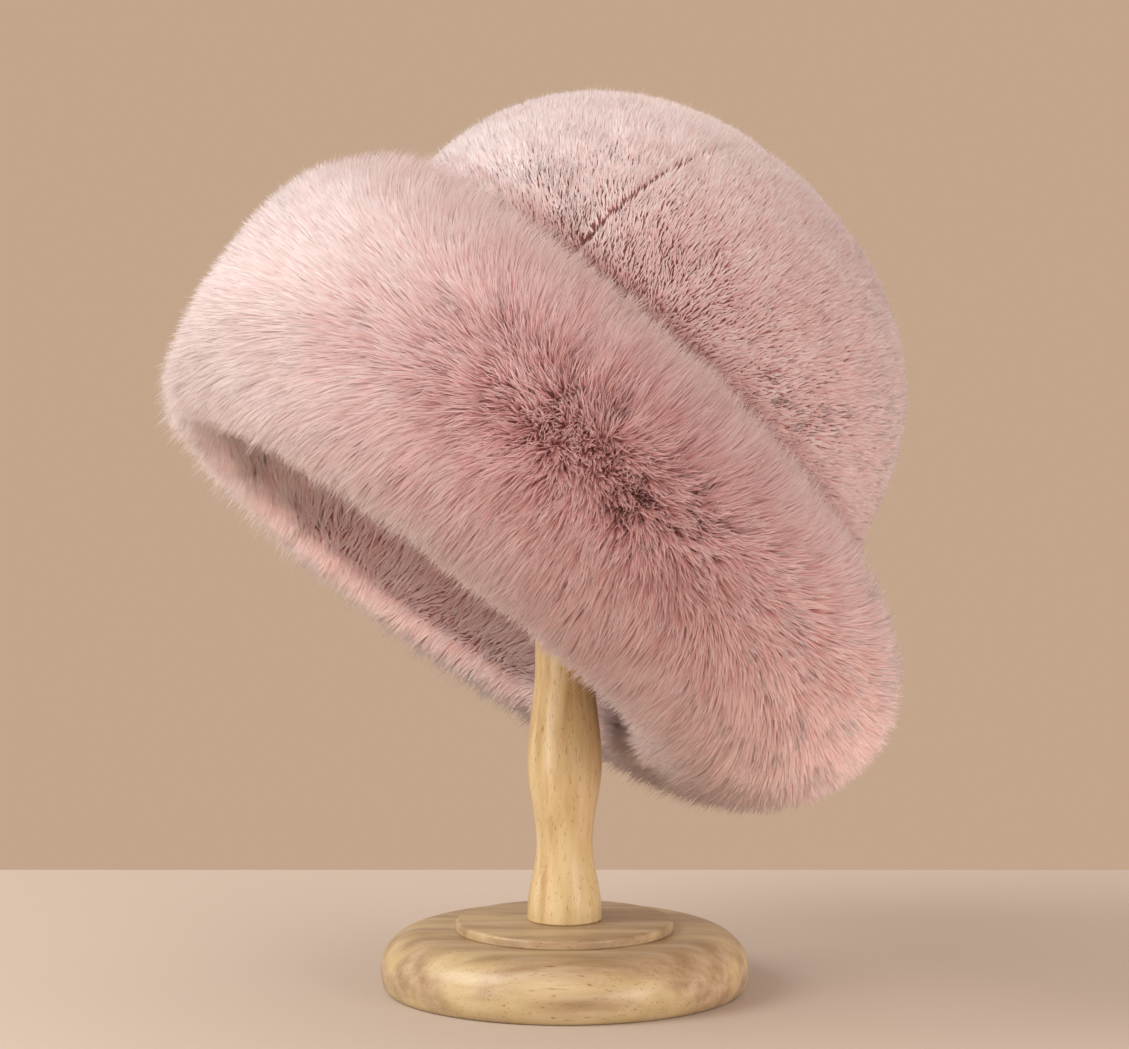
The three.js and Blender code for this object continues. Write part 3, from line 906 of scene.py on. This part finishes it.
def quarter(start, end, upright, steps):
    """Quarter of an ellipse between two corner points, without its first point. It sets off upwards if
    upright, and outwards if not."""
    points = []
    for step in range(1, steps + 1):
        angle = step / steps * QUARTER_TURN
        rise, turn = math.sin(angle), 1 - math.cos(angle)
        radius_share, height_share = (turn, rise) if upright else (rise, turn)
        points.append((
            start[0] + (end[0] - start[0]) * radius_share,
            start[1] + (end[1] - start[1]) * height_share,
        ))
    return points


def in_metres(profile_mm):
    return [(radius * MM, height * MM) for radius, height in profile_mm]


def stand_base(material):
    """Round foot: a shallow recess below, a belly, and a shoulder that runs in to a flat top."""
    recess, foot_inner, flat_radius = 0.9, 58.5, 36
    foot, belly, shoulder = (62, 0), (65, 7.56), (50, 21)
    top = shoulder[1]
    profile_mm = [(0, recess), (foot_inner - 1, recess), (foot_inner, 0), foot]
    profile_mm += quarter(foot, belly, False, 8) + quarter(belly, shoulder, True, 20)
    profile_mm += [(flat_radius, top), (0, top)]
    return turned_piece("base_turned", in_metres(profile_mm), 128, material)


def stand_disc(material):
    """Low raised disc round the post's foot. It starts just inside the base's top, so no gap shows."""
    bottom, low_radius, low_corner = 20.9, 38.1, (38.5, 21.4)
    side, top = (38.5, 23.3), (37.1, 24.5)
    profile_mm = [(0, bottom), (low_radius, bottom), low_corner, side]
    profile_mm += quarter(side, top, True, 6) + [(0, top[1])]
    return turned_piece("disc_turned", in_metres(profile_mm), 128, material)


def stand_post(material, head_base_mm):
    """Baluster whose width swings between wide and narrow, with a plain top that goes into the head."""
    foot, length, top_radius = 24.55, 92, 10.3
    foot_radius, chamfer = 13.1, 0.5
    # Each stretch's start and end as shares of the length, and the post's width there
    stretches = ((0.03, 0.3, 26.2, 19.8), (0.3, 0.6, 19.8, 26.2), (0.6, 1, 26.2, 20.6))
    steps = 16
    profile_mm = [(0, foot), (foot_radius - chamfer, foot), (foot_radius, foot + chamfer)]
    for low, high, wide, next_wide in stretches:
        for step in range(steps):
            swing = (1 - math.cos(step / steps * math.pi)) / 2
            height = foot + length * (low + (high - low) * step / steps)
            profile_mm.append(((wide + (next_wide - wide) * swing) / 2, height))
    profile_mm += [(top_radius, foot + length), (top_radius, head_base_mm), (0, head_base_mm)]
    return turned_piece("post_turned", in_metres(profile_mm), 96, material)


def stand_head(material, head_base_mm):
    """Turned mushroom with a rounded lower edge under a round top."""
    edge_radius, edge, height = 48, 6, 34
    dome_height = height - edge
    dome_radius = (edge_radius ** 2 + dome_height ** 2) / (2 * dome_height)
    dome_angle = math.asin(edge_radius / dome_radius)
    start = (edge_radius - edge, 0)
    profile_mm = [(0, 0), start] + quarter(start, (edge_radius, edge), False, 8)
    rows = 20
    for row in range(1, rows + 1):
        angle = dome_angle * (1 - row / rows)
        rise = dome_radius * math.cos(angle) - (dome_radius - dome_height)
        profile_mm.append((dome_radius * math.sin(angle), edge + rise))
    raised_mm = [(radius, head_base_mm + height) for radius, height in profile_mm]
    return turned_piece("head_turned", in_metres(raised_mm), 96, material)


# Dressing the part

def dress(piece, slot, *nodes):
    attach(piece, "root")
    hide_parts(*nodes)
    return piece


def backing_tone(piece, value):
    """Gives a backing one tone all over, as high up the colours of the pile as value says."""
    count = len(piece.data.vertices)
    set_attribute(piece.data, "along", np.full(count, value))
    set_attribute(piece.data, "tone", np.full(count, 0.5))


def in_side(bed, low, high):
    """The strands of a bed between two angles round the hat."""
    theta = (bed["theta"] + math.pi) % FULL_TURN - math.pi
    return part_of(bed, (theta >= low) & (theta < high))


LONG_FUR_STOPS = [(0.0, "#905653"), (0.3, "#c48a86"), (0.6, "#e2b0ab"), (0.85, "#eecbc6"), (1.0, "#f7ded9")]
PLUSH_STOPS = [(0.0, "#74423f"), (0.15, "#a9736f"), (0.45, "#ca9691"), (0.75, "#e0b7b2"), (1.0, "#f1dad6")]
POST_STOPS = [(0.35, "#b3925f"), (0.55, "#c5a776"), (0.7, "#cfb687"), (0.9, "#d8c49c")]
# The base, disc and head are the same wood as the post, given darker stops as painted shade where the lamps
# fall on them more strongly.
SHADED_BASE_STOPS = [(0.35, "#957d5a"), (0.55, "#a38a68"), (0.7, "#ad9575"), (0.9, "#b7a386")]

long_fur = fur_material(
    "acrylic_long_pile_fur", LONG_FUR_STOPS,
    patch_size_mm=16, patch_strength=0.4, strand_strength=0.4, sheen=0.3,
)
plush = fur_material(
    "acrylic_short_pile_plush", PLUSH_STOPS,
    patch_size_mm=14, patch_strength=0.4, strand_strength=0.22, sheen=0.35,
)
lining = lining_material()
post_wood = wood_material("lacquered_rubberwood_post", "Z", (0, 0, 0), (-31, 22, 0), POST_STOPS)
base_wood = wood_material(
    "lacquered_rubberwood_base", "X", (0, 0, math.radians(24)), (0, 12, -46), SHADED_BASE_STOPS,
)
disc_wood = wood_material(
    "lacquered_rubberwood_disc", "X", (0, 0, math.radians(-9)), (0, 30, -60), SHADED_BASE_STOPS,
)

head_base_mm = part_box("stand_head")[0].z / MM
gore_nodes = [f"crown_gore_{gore + 1}" for gore in range(GORES)]

base = dress(stand_base(base_wood), "pale_wood", "stand_base")
disc = dress(stand_disc(disc_wood), "pale_wood", "stand_base")
post = dress(stand_post(post_wood, head_base_mm), "pale_wood", "stand_post")
head = dress(stand_head(base_wood, head_base_mm), "pale_wood", "stand_head")
for piece in (base, disc, post, head):
    smooth_with_corners(piece, 35)

backing = dress(cuff_backing(long_fur), "long_fur", "fur_cuff")
# Both backings take one dark tone from low on the pile's colours, which partly paints the shade deep under
# the pile.
backing_tone(backing, 0.3)
crown = dress(crown_backing(plush), "plush", *gore_nodes)
backing_tone(crown, 0.1)
dress(crown_lining(lining), "lining", "crown_lining")

fur = cuff_bed(
    1.12 * MM, SEED, length_share=1.0, wisp=0.0, width=1.3 * MM, spread=0.08, wild=0.08,
)
guard = cuff_bed(
    2.2 * MM, SEED + 500, length_share=1.1, wisp=0.2, width=0.45 * MM, spread=0.13, wild=0.05,
)
hem = hem_bed(1.25 * MM, SEED + 900, width=1.1 * MM)
pile = crown_bed(1.02 * MM, SEED + 1300, pile_height=4.6 * MM, width=1.15 * MM, wild=0.07)
fuzz = crown_bed(2.6 * MM, SEED + 1700, pile_height=5.6 * MM, width=0.35 * MM, wild=0.15)

QUARTERS = {
    "front_left": (-math.pi, -QUARTER_TURN),
    "front_right": (-QUARTER_TURN, 0.0),
    "back_right": (0.0, QUARTER_TURN),
    "back_left": (QUARTER_TURN, math.pi),
}
HALVES = {
    "front": (-math.pi, 0.0),
    "back": (0.0, math.pi),
}
for side_name, (low, high) in QUARTERS.items():
    dress(pile_piece(f"cuff_fur_{side_name}", in_side(fur, low, high), long_fur), "long_fur", "fur_cuff")
dress(pile_piece("cuff_guard_hairs", guard, long_fur), "long_fur", "fur_cuff")
dress(pile_piece("hem_fur", hem, long_fur), "long_fur", "fur_cuff")
for half_name, (low, high) in HALVES.items():
    dress(pile_piece(f"crown_pile_{half_name}", in_side(pile, low, high), plush), "plush", *gore_nodes)
dress(pile_piece("crown_fuzz", fuzz, plush), "plush", *gore_nodes)


# Floor, light and camera

TABLE_WIDTH = 3.0
TABLE_DEPTH = 1.4
TABLE_BACK = 0.232


def plain_floor():
    """A pale matt table that ends a little behind the stand."""
    material = new_material("pale_floor")
    tree = material.node_tree
    shader = add_node(tree, "ShaderNodeBsdfPrincipled", {
        "Base Color": linear("#bfb1a1"),
        "Roughness": 0.75,
        "Specular IOR Level": 0.2,
    })
    add_node(tree, "ShaderNodeOutputMaterial", None, {"Surface": shader.outputs[0]})
    deselect_all()
    bpy.ops.mesh.primitive_plane_add(size=1, location=(0, 0, 0))
    floor = bpy.context.object
    floor.name = "floor"
    floor.scale = (TABLE_WIDTH, TABLE_DEPTH, 1)
    floor.location = (0, TABLE_BACK - TABLE_DEPTH / 2, 0)
    floor.data.materials.append(material)


def studio_world():
    """Even studio light from all round. The camera and the lacquer see a plain warm wall instead."""
    world = bpy.data.worlds.new("studio")
    world.use_nodes = True
    tree = world.node_tree
    tree.nodes.clear()
    path = add_node(tree, "ShaderNodeLightPath")
    wall_shows = add_node(tree, "ShaderNodeMath", {"operation": "MAXIMUM"}, {
        0: path.outputs["Is Camera Ray"],
        1: path.outputs["Is Glossy Ray"],
    })
    wall = add_node(tree, "ShaderNodeBackground", {"Color": linear("#c3a58c"), "Strength": 1.0})
    even = add_node(tree, "ShaderNodeBackground", {"Color": linear("#f9ece6"), "Strength": 1.0})
    mixed = add_node(tree, "ShaderNodeMixShader", None, {
        0: wall_shows.outputs[0],
        1: even.outputs[0],
        2: wall.outputs[0],
    })
    add_node(tree, "ShaderNodeOutputWorld", None, {"Surface": mixed.outputs[0]})
    bpy.context.scene.world = world


def aim_at(thing, place, aim):
    thing.location = place
    thing.rotation_euler = (Vector(aim) - Vector(place)).to_track_quat("-Z", "Y").to_euler()


def soft_light(name, place, aim, size, power, colour, beam=180):
    """A round soft lamp. beam is how wide its light spreads, in degrees."""
    light = bpy.data.lights.new(name, "AREA")
    light.shape = "DISK"
    light.size = size
    light.energy = power
    light.color = linear(colour)[:3]
    light.spread = math.radians(beam)
    lamp = bpy.data.objects.new(name, light)
    bpy.context.scene.collection.objects.link(lamp)
    aim_at(lamp, place, aim)
    lamp.visible_camera = False


def photo_camera():
    """Looks slightly down on the hat from the front, through a long lens."""
    camera_data = bpy.data.cameras.new("camera")
    camera_data.sensor_width = 36
    camera_data.lens = 137.5
    camera = bpy.data.objects.new("camera", camera_data)
    bpy.context.scene.collection.objects.link(camera)
    aim_at(camera, (0, -1.5, 0.315), (0, 0, 0.1645))
    bpy.context.scene.camera = camera


bpy.context.scene.view_settings.view_transform = "Standard"
plain_floor()
studio_world()
soft_light("key", (-1.3, -0.4, 1.3), (0, 0, 0.18), size=1.2, power=22.5, colour="#fffcfa")
soft_light("fill", (1.15, -1.35, 0.42), (0, 0, 0.16), size=0.8, power=12.0, colour="#fff0ea")
# Three small lamps stand in for light that the table throws back under the cuff.
soft_light("low_left", (-0.35, -0.3, 0.05), (0.0, 0.03, 0.17), size=0.25, power=0.5, colour="#ffeee8")
soft_light(
    "under_hat", (-0.2, -0.06, 0.02), (-0.04, 0.1, 0.17), size=0.1, power=0.032, colour="#ffe6dc", beam=60,
)
soft_light("low_right", (0.18, -0.09, 0.002), (0.16, -0.09, 1), size=0.22, power=0.2, colour="#ffe0d2")
photo_camera()

bpy.context.view_layer.update()
